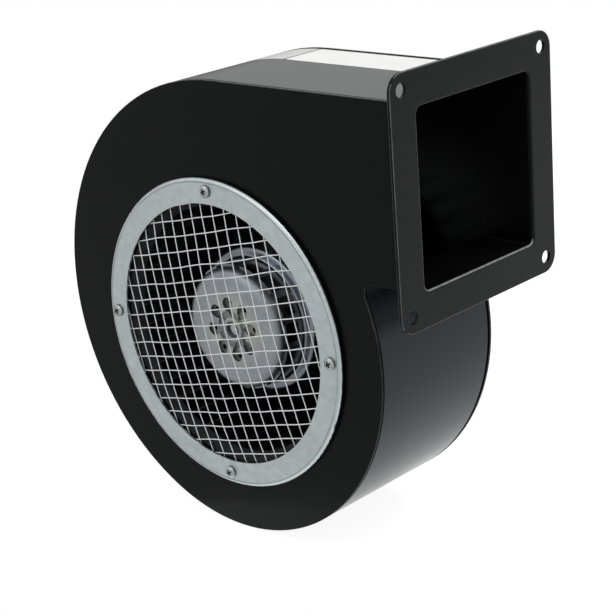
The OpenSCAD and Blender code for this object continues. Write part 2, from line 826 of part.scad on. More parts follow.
// Half section of the hub's sheet.
module hub_section() {
  collar_r = rotor_d / 2 + fit_clear / 5;
  rim_back = blade_rear - impeller_t;
  valley = [collar_r + impeller_t + hub_bend_r, crown_z + hub_bend_r];
  ridge = [crown_r - hub_bend_r - impeller_t, crown_z - impeller_t - hub_bend_r];
  cone_way = atan2(blade_in_r - crown_r, crown_z - blade_rear);
  polygon(concat(
    [[collar_r, crown_z + collar_len]],
    arc(valley, hub_bend_r + impeller_t, 180, 270),
    arc(ridge, hub_bend_r, 90, cone_way),
    [[blade_in_r - impeller_t / 2, rim_back], [rim_r, rim_back]],
    [[rim_r, blade_rear], [blade_in_r, blade_rear]],
    arc(ridge, hub_bend_r + impeller_t, cone_way, 90),
    arc(valley, hub_bend_r, 270, 180),
    [[collar_r + impeller_t, crown_z + collar_len]]));
}

// Section of one blade: an arc that starts along the radius and leans forwards at the rim.
module blade_section() {
  intersection() {
    difference() {
      circle(r = impeller_r, $fn = 180);
      circle(r = blade_in_r + 0.2, $fn = 180);
    }
    translate([blade_in_r, -blade_bend_r]) difference() {
      circle(r = blade_bend_r + blade_t / 2, $fn = 96);
      circle(r = blade_bend_r - blade_t / 2, $fn = 96);
    }
    translate([blade_in_r, -blade_bend_r]) square(blade_bend_r + blade_depth);
  }
}

module impeller_blades() {
  color("#5f5f5e") on_shaft(blade_rear) around(blade_count) {
    linear_extrude(blade_front - blade_rear) blade_section();
  }
}

module impeller_end_ring() {
  color("#8e8a84") on_shaft(blade_front) flat_ring(rim_r, blade_in_r, impeller_t);
}

// Spring clips on the rear rim that balance the impeller.
module balance_clips() {
  grip = 0.8;
  reach = 3.4;
  width = 4.6;
  lean = asin(blade_depth / blade_bend_r);
  tip_way = atan2(blade_bend_r * (1 - cos(lean)), impeller_r);
  pitch = 360 / blade_count;
  color("#a9adaf") on_shaft(blade_rear - impeller_t - grip) for (blade = [0, floor(blade_count / 2)]) {
    rotate((blade - 0.36) * pitch - tip_way) translate([rim_r, 0, 0]) difference() {
      translate([-reach, -width / 2, 0]) cube([reach + grip, width, impeller_t + 2 * grip]);
      translate([-reach - 1, -width, grip - fit_clear]) {
        cube([reach + 1, 2 * width, impeller_t + 2 * fit_clear]);
      }
    }
  }
}

inlet_side_plate();
motor_side_plate();
scroll_wrap();
outlet_flange();
inlet_ring();
wire_guard();
ring_screws();
ring_clinch_nuts();
motor_flange();
motor_screws();
motor_washers();
motor_gasket();
cable_grommet();
stator_core();
front_insulator();
rear_insulator();
stator_windings();
circuit_board();
board_screws();
capacitors();
power_transistors();
hall_sensors();
front_bearing_outer_ring();
rear_bearing_outer_ring();
front_bearing_balls();
rear_bearing_balls();
preload_spring();
rotor_cup();
flux_ring();
magnets();
shaft();
front_bearing_inner_ring();
rear_bearing_inner_ring();
shim_washer();
retaining_ring();
impeller_hub();
impeller_blades();
impeller_end_ring();
balance_clips();
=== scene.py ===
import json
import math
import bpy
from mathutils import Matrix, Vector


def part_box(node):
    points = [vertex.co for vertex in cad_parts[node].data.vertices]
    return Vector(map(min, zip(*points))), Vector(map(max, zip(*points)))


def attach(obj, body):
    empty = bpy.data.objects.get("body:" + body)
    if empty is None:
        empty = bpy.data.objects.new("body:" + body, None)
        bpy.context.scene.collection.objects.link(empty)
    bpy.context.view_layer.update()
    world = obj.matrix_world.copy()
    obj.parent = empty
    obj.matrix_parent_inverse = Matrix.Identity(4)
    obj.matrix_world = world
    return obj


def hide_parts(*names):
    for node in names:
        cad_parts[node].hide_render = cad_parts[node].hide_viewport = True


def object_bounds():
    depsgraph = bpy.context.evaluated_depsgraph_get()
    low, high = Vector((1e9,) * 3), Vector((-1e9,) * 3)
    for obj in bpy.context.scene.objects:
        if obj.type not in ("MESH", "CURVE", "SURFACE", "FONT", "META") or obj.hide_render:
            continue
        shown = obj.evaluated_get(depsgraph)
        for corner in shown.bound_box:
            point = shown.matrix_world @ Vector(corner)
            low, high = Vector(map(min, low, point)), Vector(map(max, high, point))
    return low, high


bl_info = {
    "name": "Radial Blower",
    "version": (1, 0, 0),
    "blender": (4, 5, 0),
    "location": "View3D > Sidebar > Blower",
    "description": "Dresses a radial blower: painted scroll, wire guard, drum impeller and motor",
    "category": "Object",
}

import bmesh
import bpy
from bpy.props import FloatProperty, FloatVectorProperty, IntProperty, PointerProperty
from mathutils import Matrix, Vector

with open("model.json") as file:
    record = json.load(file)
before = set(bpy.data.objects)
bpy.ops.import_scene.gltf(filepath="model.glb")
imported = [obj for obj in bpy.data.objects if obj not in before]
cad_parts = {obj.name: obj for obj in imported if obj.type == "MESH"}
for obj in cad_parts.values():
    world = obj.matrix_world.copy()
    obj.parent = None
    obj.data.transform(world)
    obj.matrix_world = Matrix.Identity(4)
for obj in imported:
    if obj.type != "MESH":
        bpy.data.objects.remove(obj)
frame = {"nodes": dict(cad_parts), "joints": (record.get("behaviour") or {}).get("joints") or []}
CAD_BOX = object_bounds()

MM = 0.001
HOUSING = "housing"
IMPELLER = "impeller"


def corners(node):
    """Lowest and highest corner of a solid of the frame."""
    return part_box(node)


def extent(node, axis):
    """Size of a solid of the frame along one axis."""
    low, high = corners(node)
    return getattr(high, axis) - getattr(low, axis)


# The shaft crosses the housing's middle plane at the joint. Depths count from that plane to the inlet.
SHAFT = Vector(frame["joints"][0]["pos_m"])
FRONT = -corners("inlet_side_plate")[0].y
RING_FACE = -corners("inlet_ring")[0].y
RING_RADIUS = extent("inlet_ring", "x") / 2

# The label's two fields meet this far behind the flange's face, measured along the wrap. The back field, over
# the wrap's arc, is painted in shade.
LABEL_SPLIT = 147.5 * MM


# ---- Properties ----


def Length(name, description, default, low, high):
    """A length, given in millimetres."""
    return FloatProperty(name=name, description=description, default=default * MM,
                         min=low * MM, max=high * MM, unit="LENGTH")


def Angle(name, description, default, high):
    """An angle, given in degrees."""
    return FloatProperty(name=name, description=description, default=math.radians(default),
                         min=0, max=math.radians(high), subtype="ANGLE")


def Colour(name, description, *default):
    """A colour, given as red, green and blue."""
    return FloatVectorProperty(name=name, description=description, default=default,
                               min=0, max=1, size=3, subtype="COLOR")


class BlowerSizes(bpy.types.PropertyGroup):
    """Sizes of the scroll, the side plates and the flange."""

    edge: Length("Plate edge", "Rounding of the side plates' edges", 0.7, 0.05, 0.7)
    flange_edge: Length("Flange edge", "Rounding of the flange's cut edges", 0.35, 0.05, 0.6)
    plate: Length("Side plate", "Thickness of the side plates", 1.5, 0.5, 3)
    wrap: Length("Wrap", "Thickness of the scroll wrap", 1.2, 0.5, 2)
    lap: Length("Wrap lap", "How far the wrap is set out towards the plates' rims", 0.9, 0, 1)
    seam: Length("Seam", "Width of the groove between the motor plate and the wrap", 1.9, 0.2, 4)
    low_arc: Length("Lower arc", "Outer radius of the wrap's lower arc", 120.2, 100, 150)
    high_x: Length("Upper arc, forwards", "Centre of the upper arc in front of the shaft", 8, 0, 20)
    high_z: Length("Upper arc, upwards", "Centre of the upper arc above the shaft", 13, 0, 25)
    arc_meet: Angle("Arcs meet", "Direction below the level in which the two arcs meet", 116, 180)
    tongue: Length("Tongue", "Outer radius of the bend at the tongue", 7, 2, 15)
    duct: Length("Duct height", "Height of the outlet duct over the wrap", 100, 80, 120)


class GuardSizes(bpy.types.PropertyGroup):
    """Sizes of the wire guard."""

    radius: Length("Radius", "Outer radius of the guard", 85, 60, 100)
    wire: Length("Wire", "Diameter of a wire", 0.7, 0.4, 2)
    pitch: Length("Pitch", "Distance between neighbouring wires", 9.05, 5, 15)
    bow: Length("Bow", "How far the middle of the guard stands out", 6.5, 1, 12)
    stray: Length("Stray", "How far a wire may stray sideways", 0.9, 0, 3)
    turn: Angle("Turn", "Angle of the wires against the duct", 13.3, 90)
    upright_shift: Length("Upright shift", "Sideways place of the upright wires", 1.4, -5, 5)
    level_shift: Length("Level shift", "Sideways place of the level wires", -1.7, -5, 5)


class ImpellerSizes(bpy.types.PropertyGroup):
    """Sizes of the drum impeller."""

    blades: IntProperty(name="Blades", description="Number of blades", default=40, min=12, max=60)
    depth: Length("Blade depth", "Depth of a blade along the radius", 12, 5, 20)
    bend: Length("Blade bend", "Bend radius of a blade", 13, 12, 30)
    sheet: Length("Blade sheet", "Thickness of a blade", 0.8, 0.3, 1.5)


class FinishColours(bpy.types.PropertyGroup):
    """Colours of the finishes that show from outside."""

    paint: Colour("Paint", "Black stoving paint of the housing", 0.0028, 0.0028, 0.0031)
    # Lighter paint on noted edges: partly wear, partly a painted highlight on edges that face the light.
    worn: Colour("Paint edge", "Where the paint is drawn thin over an edge", 0.20, 0.205, 0.21)
    flange: Colour("Flange paint", "Paint of the outlet flange", 0.0055, 0.0055, 0.0058)
    zinc: Colour("Zinc", "Galvanised sheet of the inlet ring", 0.67, 0.735, 0.75)
    wire: Colour("Wire", "Zinc-plated guard wire", 0.94, 0.98, 1.0)
    rotor: Colour("Rotor", "Bare aluminium of the rotor", 0.50, 0.54, 0.57)
    impeller: Colour("Impeller", "Steel of the blades and the end ring", 0.28, 0.27, 0.255)
    hub: Colour("Hub", "Galvanised steel of the hub", 0.34, 0.375, 0.41)
    label: Colour("Label", "Bare film of the label", 0.70, 0.70, 0.695)


# ---- Shaders ----


class Value:
    """A number in a node tree that Python's operators work on."""

    def __init__(self, nodes, socket):
        self.nodes = nodes
        self.socket = socket

    def __add__(self, other):
        return self.nodes.maths("ADD", self, other)

    def __sub__(self, other):
        return self.nodes.maths("SUBTRACT", self, other)

    def __rsub__(self, other):
        return self.nodes.maths("SUBTRACT", other, self)

    def __mul__(self, other):
        return self.nodes.maths("MULTIPLY", self, other)

    __radd__ = __add__
    __rmul__ = __mul__

    def near(self, middle, reach):
        """One at a middle value, falling to nought at a reach on both sides."""
        return self.nodes.spread(self.nodes.maths("ABSOLUTE", self - middle), 0, reach, 1, 0)

    def part(self, output):
        """Another output of the same node."""
        return Value(self.nodes, self.socket.node.outputs[output])


class Nodes:
    """A tree of nodes that one method makes."""

    def __init__(self, tree):
        self.tree = tree
        tree.nodes.clear()

    def node(self, kind, inputs=None, output=0, **settings):
        """A node of any kind: its settings first, then the values or links of its sockets."""
        made = self.tree.nodes.new(kind)
        for name, value in settings.items():
            setattr(made, name, value)
        for key, value in (inputs or {}).items():
            socket = made.inputs[key]
            if isinstance(value, Value):
                self.tree.links.new(value.socket, socket)
            elif hasattr(value, "__len__"):
                socket.default_value = (*value, *[1] * (len(socket.default_value) - len(value)))
            else:
                socket.default_value = value
        return Value(self, made.outputs[output])

    def maths(self, operation, *values):
        """One sum on numbers."""
        return self.node("ShaderNodeMath", dict(enumerate(values)), operation=operation)

    def length(self, vector):
        """The length of a vector."""
        return self.node("ShaderNodeVectorMath", {0: vector}, "Value", operation="LENGTH")

    def lead_out(self, kind, last):
        """Leads the last node to the tree's output."""
        out = self.tree.nodes.new(kind)
        self.tree.links.new(last.socket, out.inputs[0])


class Recipe(Nodes):
    """A material, or the world."""

    def place(self, scale=(1, 1, 1), shift=(0, 0, 0)):
        """Object coordinates, stretched and moved."""
        here = self.node("ShaderNodeTexCoord", output="Object")
        return self.node("ShaderNodeMapping", {"Vector": here, "Scale": scale, "Location": shift})

    def along(self, axis):
        """One of the object coordinates."""
        return self.node("ShaderNodeSeparateXYZ", {0: self.place()}, axis)

    def radius(self):
        """The distance from the fan's shaft."""
        return self.length(self.place(scale=(1, 0, 1), shift=(-SHAFT.x, 0, -SHAFT.z)))

    def note(self, name):
        """A value that was noted on the piece's faces."""
        return self.node("ShaderNodeAttribute", output="Fac", attribute_name=name)

    def noise(self, where, scale, detail):
        """Soft noise from nought to one."""
        return self.node("ShaderNodeTexNoise", {"Vector": where, "Scale": scale, "Detail": detail})

    def blend(self, share, first, second):
        """A colour between two colours."""
        return self.node("ShaderNodeMix", {"Factor": share, 6: first, 7: second}, 2, data_type="RGBA")

    def spread(self, value, low, high, to_low=0.0, to_high=1.0):
        """The value's range led over to another range."""
        return self.node("ShaderNodeMapRange", {
            "Value": value, "From Min": low, "From Max": high,
            "To Min": to_low, "To Max": to_high}, clamp=True)

    def mottled(self, noise, dark, light, low=0.3, high=0.7):
        """Two colours in a noise's soft blotches."""
        return self.blend(self.spread(noise, low, high), dark, light)

    def bump(self, height, distance, strength, under=None):
        """A normal from a height in metres."""
        inputs = {"Height": height, "Distance": distance, "Strength": strength}
        if under is not None:
            inputs["Normal"] = under
        return self.node("ShaderNodeBump", inputs)

    def surface(self, **sockets):
        """The principled shader, led to the output."""
        shader = self.node("ShaderNodeBsdfPrincipled", {
            name.replace("_", " "): value for name, value in sockets.items()})
        self.lead_out("ShaderNodeOutputMaterial", shader)

    def coat(self, colour, metal, tone, low, high, normal):
        """The principled shader with a roughness that follows a tone."""
        self.surface(Base_Color=colour, Metallic=metal, Normal=normal,
                     Roughness=self.spread(tone, 0.3, 0.7, low, high))


FINISHES = {}


def finish(fill):
    """Keeps a function that fills a material; the material is made when it is first asked for."""
    FINISHES[fill.__name__] = fill
    return fill


def material(name):
    """The material of one finish."""
    found = bpy.data.materials.get("Finish_" + name)
    if found is None:
        found = bpy.data.materials.new("Finish_" + name)
        found.use_nodes = True
        FINISHES[name](Recipe(found.node_tree), bpy.context.scene.blower_colours)
    return found


def dimmed(colour, share):
    """A share of a colour's light."""
    return [share * c for c in colour]


def stoved(recipe, colour, worn, rough, peel, gloss, tint=(0.93, 0.98, 1.0)):
    """Stoving paint: even colour, a faint orange peel, a little dust, lighter on noted edges as wear and as a
    painted highlight, and matt inside.
    """
    here = recipe.place()
    cloud = recipe.noise(here, 22, 3)
    grain = recipe.noise(here, 620, 2)
    dust = recipe.spread(recipe.noise(here, 1900, 1), 0.73, 0.82)
    base = recipe.mottled(cloud, colour, dimmed(colour, 1.25))
    base = recipe.blend(dust * 0.25, base, (0.10, 0.10, 0.10))
    # Lighter paint on the noted edges, broken by noise: partly wear, partly a painted highlight.
    thin = recipe.note("edge") * recipe.spread(recipe.noise(here, 240, 3), 0.25, 0.6, 0.45, 1.0)
    base = recipe.blend(thin, base, worn)
    polish = recipe.spread(cloud, 0.2, 0.8, rough, rough + 0.07) + dust * 0.2
    polish = polish + recipe.note("inside") * (0.95 - polish)
    normal = recipe.bump(grain, peel * 0.05 * MM, 0.5)
    normal = recipe.bump(recipe.noise(here, 9, 1), 0.5 * MM, 0.5, normal)
    recipe.surface(Base_Color=base, Roughness=polish, IOR=gloss, Specular_Tint=tint, Normal=normal)


@finish
def black_paint(recipe, colours):
    """Paint of the two side plates."""
    stoved(recipe, colours.paint, colours.worn, rough=0.24, peel=1.0, gloss=1.215)


@finish
def wrap_paint(recipe, colours):
    """Paint of the wrap, which is glossier than the plates because its sheet is rolled smooth."""
    stoved(recipe, colours.paint, colours.worn, rough=0.16, peel=0.8, gloss=1.345, tint=(0.70, 0.90, 1.0))


@finish
def flange_paint(recipe, colours):
    """Paint of the flange, which is a little greyer."""
    stoved(recipe, colours.flange, colours.worn, rough=0.24, peel=1.2, gloss=1.20)


@finish
def galvanised(recipe, colours):
    """Hot-dip galvanised sheet: a faint spangle, rolling lines, a line of painted shade where the edge is
    folded over, and painted shade on the dark outer side.
    """
    here = recipe.place()
    spangle = recipe.node("ShaderNodeTexVoronoi", {"Vector": here, "Scale": 260}, "Color")
    spangle = recipe.node("ShaderNodeRGBToBW", {0: spangle})
    cloud = recipe.noise(here, 45, 3)
    lines = recipe.noise(recipe.place(scale=(4, 4, 160)), 9, 2)
    tone = spangle * 0.35 + cloud * 0.4 + lines * 0.25
    colour = recipe.mottled(tone, dimmed(colours.zinc, 0.86), colours.zinc)
    # A dark line of painted shade, 2.3 mm inside the ring's rim, where the edge is folded over.
    hem = recipe.radius().near(RING_RADIUS - 2.3 * MM, 0.55 * MM) * recipe.spread(cloud, 0.3, 0.6, 0.25, 0.75)
    colour = recipe.blend(hem, colour, (0.12, 0.13, 0.13))
    # Painted shade on the ring's outer side, which stands out from the plate.
    wall = recipe.spread(recipe.along("Y"), 1.3 * MM - RING_FACE, 2.1 * MM - RING_FACE)
    colour = recipe.blend(wall, colour, (0.03, 0.032, 0.034))
    recipe.surface(Base_Color=colour, Metallic=1.0, Roughness=recipe.spread(tone, 0.25, 0.75, 0.30, 0.46),
                   Normal=recipe.bump(tone, 0.02 * MM, 0.4))


@finish
def guard_wire(recipe, colours):
    """Drawn wire, zinc plated, with small drips of zinc."""
    drips = recipe.noise(recipe.place(), 800, 3)
    colour = recipe.mottled(drips, dimmed(colours.wire, 0.8), colours.wire, 0.35, 0.65)
    recipe.coat(colour, 0.35, drips, 0.28, 0.45, recipe.bump(drips, 0.03 * MM, 0.5))


@finish
def zinc_screw(recipe, colours):
    """Bright zinc plating with tool marks, with painted shade in the cross and round the head's rim."""
    marks = recipe.noise(recipe.place(), 950, 4)
    colour = recipe.mottled(marks, (0.30, 0.32, 0.33), (0.66, 0.69, 0.69))
    # Painted shade in the cross and a painted contact shadow round the head.
    colour = recipe.blend(recipe.note("recess"), colour, (0.02, 0.02, 0.02))
    recipe.coat(colour, 1.0, marks, 0.22, 0.4, recipe.bump(marks, 0.02 * MM, 0.4))


@finish
def die_cast(recipe, colours):
    """Aluminium casting: fine grain, turning marks, a warm stain round the shaft, and painted shade in the
    recesses and on the rounded side.
    """
    here = recipe.place(shift=(-SHAFT.x, 0, -SHAFT.z))
    grain = recipe.noise(here, 1300, 3)
    flow = recipe.noise(here, 60, 3)
    rings = recipe.node("ShaderNodeTexWave", {
        "Vector": here, "Scale": 420, "Distortion": 0.6, "Detail": 1, "Detail Scale": 3},
        wave_type="RINGS", rings_direction="Y", wave_profile="SAW")
    tone = grain * 0.65 + flow * 0.35
    colour = recipe.mottled(tone, dimmed(colours.rotor, 0.66), colours.rotor, 0.35, 0.65)
    radius = recipe.radius()
    stain = recipe.spread(radius, 17 * MM, 25 * MM, 1, 0) * recipe.spread(flow, 0.4, 0.6)
    colour = recipe.blend(stain * 0.6, colour, (0.58, 0.60, 0.46))
    # Painted shade on the rotor's rounded side.
    colour = recipe.blend(recipe.note("wall"), colour, dimmed(colours.rotor, 0.6))
    # Painted shade in the recesses, broken by grain.
    soil = recipe.note("recess") * recipe.spread(grain, 0.3, 0.7, 0.8, 1.0)
    colour = recipe.blend(soil, colour, dimmed(colours.rotor, 0.12))
    for middle in (0, 4.4 * MM):
        colour = recipe.blend(radius.near(middle, 1.4 * MM), colour, dimmed(colours.rotor, 0.08))
    normal = recipe.bump(grain, 0.04 * MM, 0.4, recipe.bump(rings, 0.015 * MM, 0.35))
    recipe.coat(colour, 1.0, tone, 0.34, 0.5, normal)


def drum_sheet(recipe, colour, rim, rough):
    """Drum sheet, dulled by handling, with another tone towards the rim."""
    here = recipe.place()
    haze = recipe.noise(here, 70, 4)
    tint = recipe.mottled(haze, dimmed(colour, 0.7), colour)
    tint = recipe.blend(recipe.spread(recipe.radius(), 62 * MM, 72 * MM), tint, rim)
    normal = recipe.bump(recipe.noise(here, 900, 2), 0.03 * MM, 0.4)
    recipe.coat(tint, 1.0, haze, rough, rough + 0.16, normal)


@finish
def impeller_steel(recipe, colours):
    """Sheet of the blades and the end ring."""
    drum_sheet(recipe, colours.impeller, colours.impeller, 0.34)


@finish
def hub_steel(recipe, colours):
    """Sheet of the hub, smoother and darker at the rim."""
    drum_sheet(recipe, colours.hub, dimmed(colours.impeller, 0.4), 0.17)


def film(recipe, paper, dim, rough, line=None):
    """Bare film, slightly cloudy, with a dark line at its front end where one is asked for."""
    here = recipe.place()
    haze = recipe.noise(here, 60, 3)
    colour = recipe.mottled(haze, dimmed(paper, dim), paper)
    if line is not None:
        ahead = recipe.spread(recipe.along("X"), line - 0.2 * MM, line)
        colour = recipe.blend(ahead, colour, (0.03, 0.03, 0.03))
    normal = recipe.bump(recipe.noise(here, 800, 2), 0.01 * MM, 0.3)
    recipe.coat(colour, 0.0, haze, rough, rough + 0.1, normal)


@finish
def label(recipe, colours):
    """The label's white field."""
    film(recipe, colours.label, 0.95, 0.28)


@finish
def label_grey(recipe, colours):
    """The label's back field: the same film in painted shade where it bends down over the arc, with the dark
    line towards the white one.
    """
    film(recipe, dimmed(colours.label, 0.72), 0.94, 0.26, line=-LABEL_SPLIT - 1.3 * MM)


def plain(recipe, metal, dark, light, rough, scale, depth):
    """Metal, or else rubber, plastic, paper and ceramic, in two tones."""
    tone = recipe.noise(recipe.place(), scale, 3)
    reach, strength = (0.14, 0.4) if metal else (0.12, 0.5)
    recipe.coat(recipe.mottled(tone, dark, light), metal, tone, rough, rough + reach,
                recipe.bump(tone, depth, strength))


# Each row holds the dark tone, the light tone, the roughness, the noise's scale and the bump's depth.
METALS = {
    "bearing_steel": ((0.58, 0.59, 0.60), (0.74, 0.75, 0.76), 0.12, 500, 0.004 * MM),
    "shaft_steel": ((0.50, 0.51, 0.52), (0.66, 0.67, 0.68), 0.2, 700, 0.006 * MM),
    "lamination": ((0.20, 0.21, 0.22), (0.32, 0.33, 0.34), 0.42, 400, 0.02 * MM),
    "flux_steel": ((0.16, 0.17, 0.18), (0.27, 0.28, 0.29), 0.38, 300, 0.02 * MM),
    "copper_wire": ((0.55, 0.22, 0.09), (0.80, 0.36, 0.17), 0.26, 650, 0.05 * MM),
    "brass_shim": ((0.60, 0.45, 0.20), (0.76, 0.60, 0.30), 0.24, 500, 0.006 * MM),
    "spring_steel": ((0.22, 0.22, 0.23), (0.38, 0.38, 0.39), 0.3, 600, 0.01 * MM),
}
STUFFS = {
    "ferrite": ((0.035, 0.035, 0.038), (0.06, 0.06, 0.064), 0.55, 500, 0.03 * MM),
    "insulator_plastic": ((0.66, 0.63, 0.54), (0.78, 0.75, 0.66), 0.42, 300, 0.01 * MM),
    "board": ((0.012, 0.075, 0.028), (0.02, 0.12, 0.045), 0.3, 350, 0.02 * MM),
    "component_black": ((0.012, 0.012, 0.013), (0.03, 0.03, 0.032), 0.42, 700, 0.01 * MM),
    "capacitor_sleeve": ((0.012, 0.022, 0.055), (0.02, 0.035, 0.08), 0.3, 200, 0.01 * MM),
    "rubber": ((0.012, 0.012, 0.012), (0.028, 0.028, 0.028), 0.62, 500, 0.04 * MM),
    "gasket": ((0.03, 0.03, 0.032), (0.06, 0.06, 0.062), 0.75, 900, 0.06 * MM),
}
for metal, rows in ((1.0, METALS), (0.0, STUFFS)):
    for slot_name, row in rows.items():
        FINISHES[slot_name] = lambda recipe, colours, metal=metal, row=row: plain(recipe, metal, *row)


# ---- Pieces ----


def put(name, mesh):
    """An object at the origin for a finished mesh."""
    made = bpy.data.objects.new(name, mesh)
    bpy.context.scene.collection.objects.link(made)
    return made


def closed(work, name):
    """The mesh of a closed shape, with its faces turned outwards."""
    bmesh.ops.recalc_face_normals(work, faces=work.faces)
    mesh = bpy.data.meshes.new(name)
    work.to_mesh(mesh)
    work.free()
    return mesh


def slab(work, outer, inner):
    """Faces over two like grids of corners: both skins, then the rims between them."""
    for skin in (outer, inner):
        for a, b in zip(skin, skin[1:]):
            for i in range(len(a) - 1):
                face = [a[i], a[i + 1], b[i + 1], b[i]]
                work.faces.new(face if skin is inner else face[::-1])
    for side in (0, -1):
        for a, b, c, d in zip(outer, outer[1:], inner, inner[1:]):
            work.faces.new([a[side], b[side], d[side], c[side]])
    for end in (0, -1):
        out, inn = outer[end], inner[end]
        for i in range(len(out) - 1):
            work.faces.new([out[i], out[i + 1], inn[i + 1], inn[i]])


def polished(piece, angle):
    """Smooth faces, with sharp edges where the surface turns by more than the angle in degrees."""
    mesh = piece.data
    mesh.polygons.foreach_set("use_smooth", [True] * len(mesh.polygons))
    mesh.set_sharp_from_angle(angle=math.radians(angle))
    return piece


def settled(piece):
    """Modifiers are turned into plain mesh."""
    graph = bpy.context.evaluated_depsgraph_get()
    mesh = bpy.data.meshes.new_from_object(piece.evaluated_get(graph))
    piece.modifiers.clear()
    old = piece.data
    piece.data = mesh
    mesh.name = piece.name
    bpy.data.meshes.remove(old)
    return piece


def rounded(piece, width, segments=2):
    """A small radius on the sharp edges, with the flat faces kept flat."""
    bevel = piece.modifiers.new("Edges", "BEVEL")
    bevel.width = width
    bevel.segments = segments
    bevel.limit_method = "ANGLE"
    bevel.angle_limit = math.radians(35)
    polished(settled(piece), 50)
    weigh = piece.modifiers.new("Flats", "WEIGHTED_NORMAL")
    weigh.keep_sharp = True
    weigh.weight = 80
    return settled(piece)


def noted(piece, name, test):
    """Notes on each face how far a test of its place and direction holds, for the piece's finish."""
    note = piece.data.attributes.new(name, "FLOAT", "FACE")
    note.data.foreach_set("value", [float(test(face.center, face.normal)) for face in piece.data.polygons])
    return piece


def dressed(piece, body, slot, *nodes, look=None):
    """Gives a piece its finish and its body, and hides the solids that it stands for."""
    piece.data.materials.clear()
    piece.data.materials.append(material(look or slot))
    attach(piece, body)
    if nodes:
        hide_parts(*nodes)
    return piece


def copy_of(node, name=None):
    """A merged copy of a solid's mesh with its flat faces joined, named after the solid if need be."""
    name = name or node.capitalize()
    mesh = frame["nodes"][node].data.copy()
    mesh.name = name
    work = bmesh.new()
    work.from_mesh(mesh)
    bmesh.ops.remove_doubles(work, verts=work.verts, dist=1e-6)
    bmesh.ops.dissolve_degenerate(work, edges=work.edges, dist=1e-7)
    bmesh.ops.dissolve_limit(work, angle_limit=math.radians(0.2), verts=work.verts, edges=work.edges)
    work.to_mesh(mesh)
    work.free()
    return put(name, mesh)


def on_shaft(x, y, z):
    """A point given from the shaft: x to the outlet, y up, z towards the inlet."""
    return Vector((SHAFT.x + x, -z, SHAFT.z + y))


def off_shaft(place):
    """How far a point lies from the shaft's line."""
    return (place - SHAFT).xz.length


def steps(start, end, count):
    """Even steps from start to end, both of them kept."""
    return [start + (end - start) * i / count for i in range(count + 1)]


# ---- Scroll ----

FLOOR_STEPS = 6


def arc_points(centre, radius, start, end, step=1):
    """Points along an arc, about a step in degrees apart, without its first one."""
    count = max(2, math.ceil(abs(end - start) / math.radians(step)))
    return [(centre[0] + radius * math.cos(w), centre[1] + radius * math.sin(w))
            for w in steps(start, end, count)[1:]]


def scroll_line(sizes, grow):
    """The wrap's outline from the duct's top at the flange round to its floor, set out by grow."""
    top = -SHAFT.z + sizes.duct / 2
    floor = top - sizes.duct
    grow += sizes.lap
    end_x = -SHAFT.x - extent("outlet_flange", "x")
    high = (sizes.high_x, sizes.high_z)
    high_r = top - sizes.high_z
    way = (math.cos(sizes.arc_meet), -math.sin(sizes.arc_meet))
    low = tuple(high[i] + (high_r - sizes.low_arc) * way[i] for i in range(2))
    bend_y = floor - sizes.tongue
    bend_x = low[0] + math.sqrt((sizes.low_arc + sizes.tongue) ** 2 - (bend_y - low[1]) ** 2)
    lean = math.atan2(bend_y - low[1], bend_x - low[0])
    meet = 2 * math.pi - sizes.arc_meet
    return ([(x, top + grow) for x in steps(end_x, high[0], 24)]
            + arc_points(high, high_r + grow, math.pi / 2, meet)
            + arc_points(low, sizes.low_arc + grow, meet, 2 * math.pi + lean)
            + arc_points((bend_x, bend_y), sizes.tongue - grow, math.pi + lean, math.pi / 2, 6)
            + [(x, floor - grow) for x in steps(bend_x, end_x, FLOOR_STEPS)[1:]])


class BLOWER_OT_wrap(bpy.types.Operator):
    """Bends the scroll wrap from one strip of sheet"""

    bl_idname = "blower.wrap"
    bl_label = "Scroll wrap"

    inlet_share = 0.4  # The inlet side's groove is narrower than the motor side's.
    sunk_share = 0.85  # The grooves go this far through the sheet.
    fold_reach = 14 * MM

    def execute(self, context):
        sizes = context.scene.blower_sizes
        outside = scroll_line(sizes, 0)
        inside = scroll_line(sizes, -sizes.wrap)
        sunk = scroll_line(sizes, -self.sunk_share * sizes.wrap)
        half = FRONT - sizes.plate
        motor = half - sizes.seam
        inlet = half - self.inlet_share * sizes.seam
        soft = 0.25 * MM
        across = [(-half, 1), (-motor, 1), (-motor, 0.25), (-motor + soft, 0)]
        across += [(z, 0) for z in steps(-motor, motor, 8)[1:-1]]
        across += [(inlet - soft, 0), (inlet, 0.25), (inlet, 1), (half, 1)]
        work = bmesh.new()
        skins = [[[work.verts.new(on_shaft(a[0] + (b[0] - a[0]) * dip, a[1] + (b[1] - a[1]) * dip, z))
                   for z, dip in across] for a, b in zip(line, other)]
                 for line, other in ((outside, sunk), (inside, inside))]
        slab(work, *skins)
        piece = polished(put("Scroll_wrap", closed(work, "Scroll_wrap")), 25)
        fold = on_shaft(*outside[-FLOOR_STEPS - 1], 0)

        def matt(place, way):
            """The grooves, and the fold under the duct, where little light gets in."""
            if abs(place.y) > inlet - soft:
                return 0.95
            near = 1.7 - (place - fold).xz.length / self.fold_reach
            return (way.x > -0.2 and way.z < 0.85) * min(0.9, max(0, near))

        noted(piece, "inside", matt)
        dressed(piece, HOUSING, "black_paint", "scroll_wrap", look="wrap_paint")
        return {"FINISHED"}


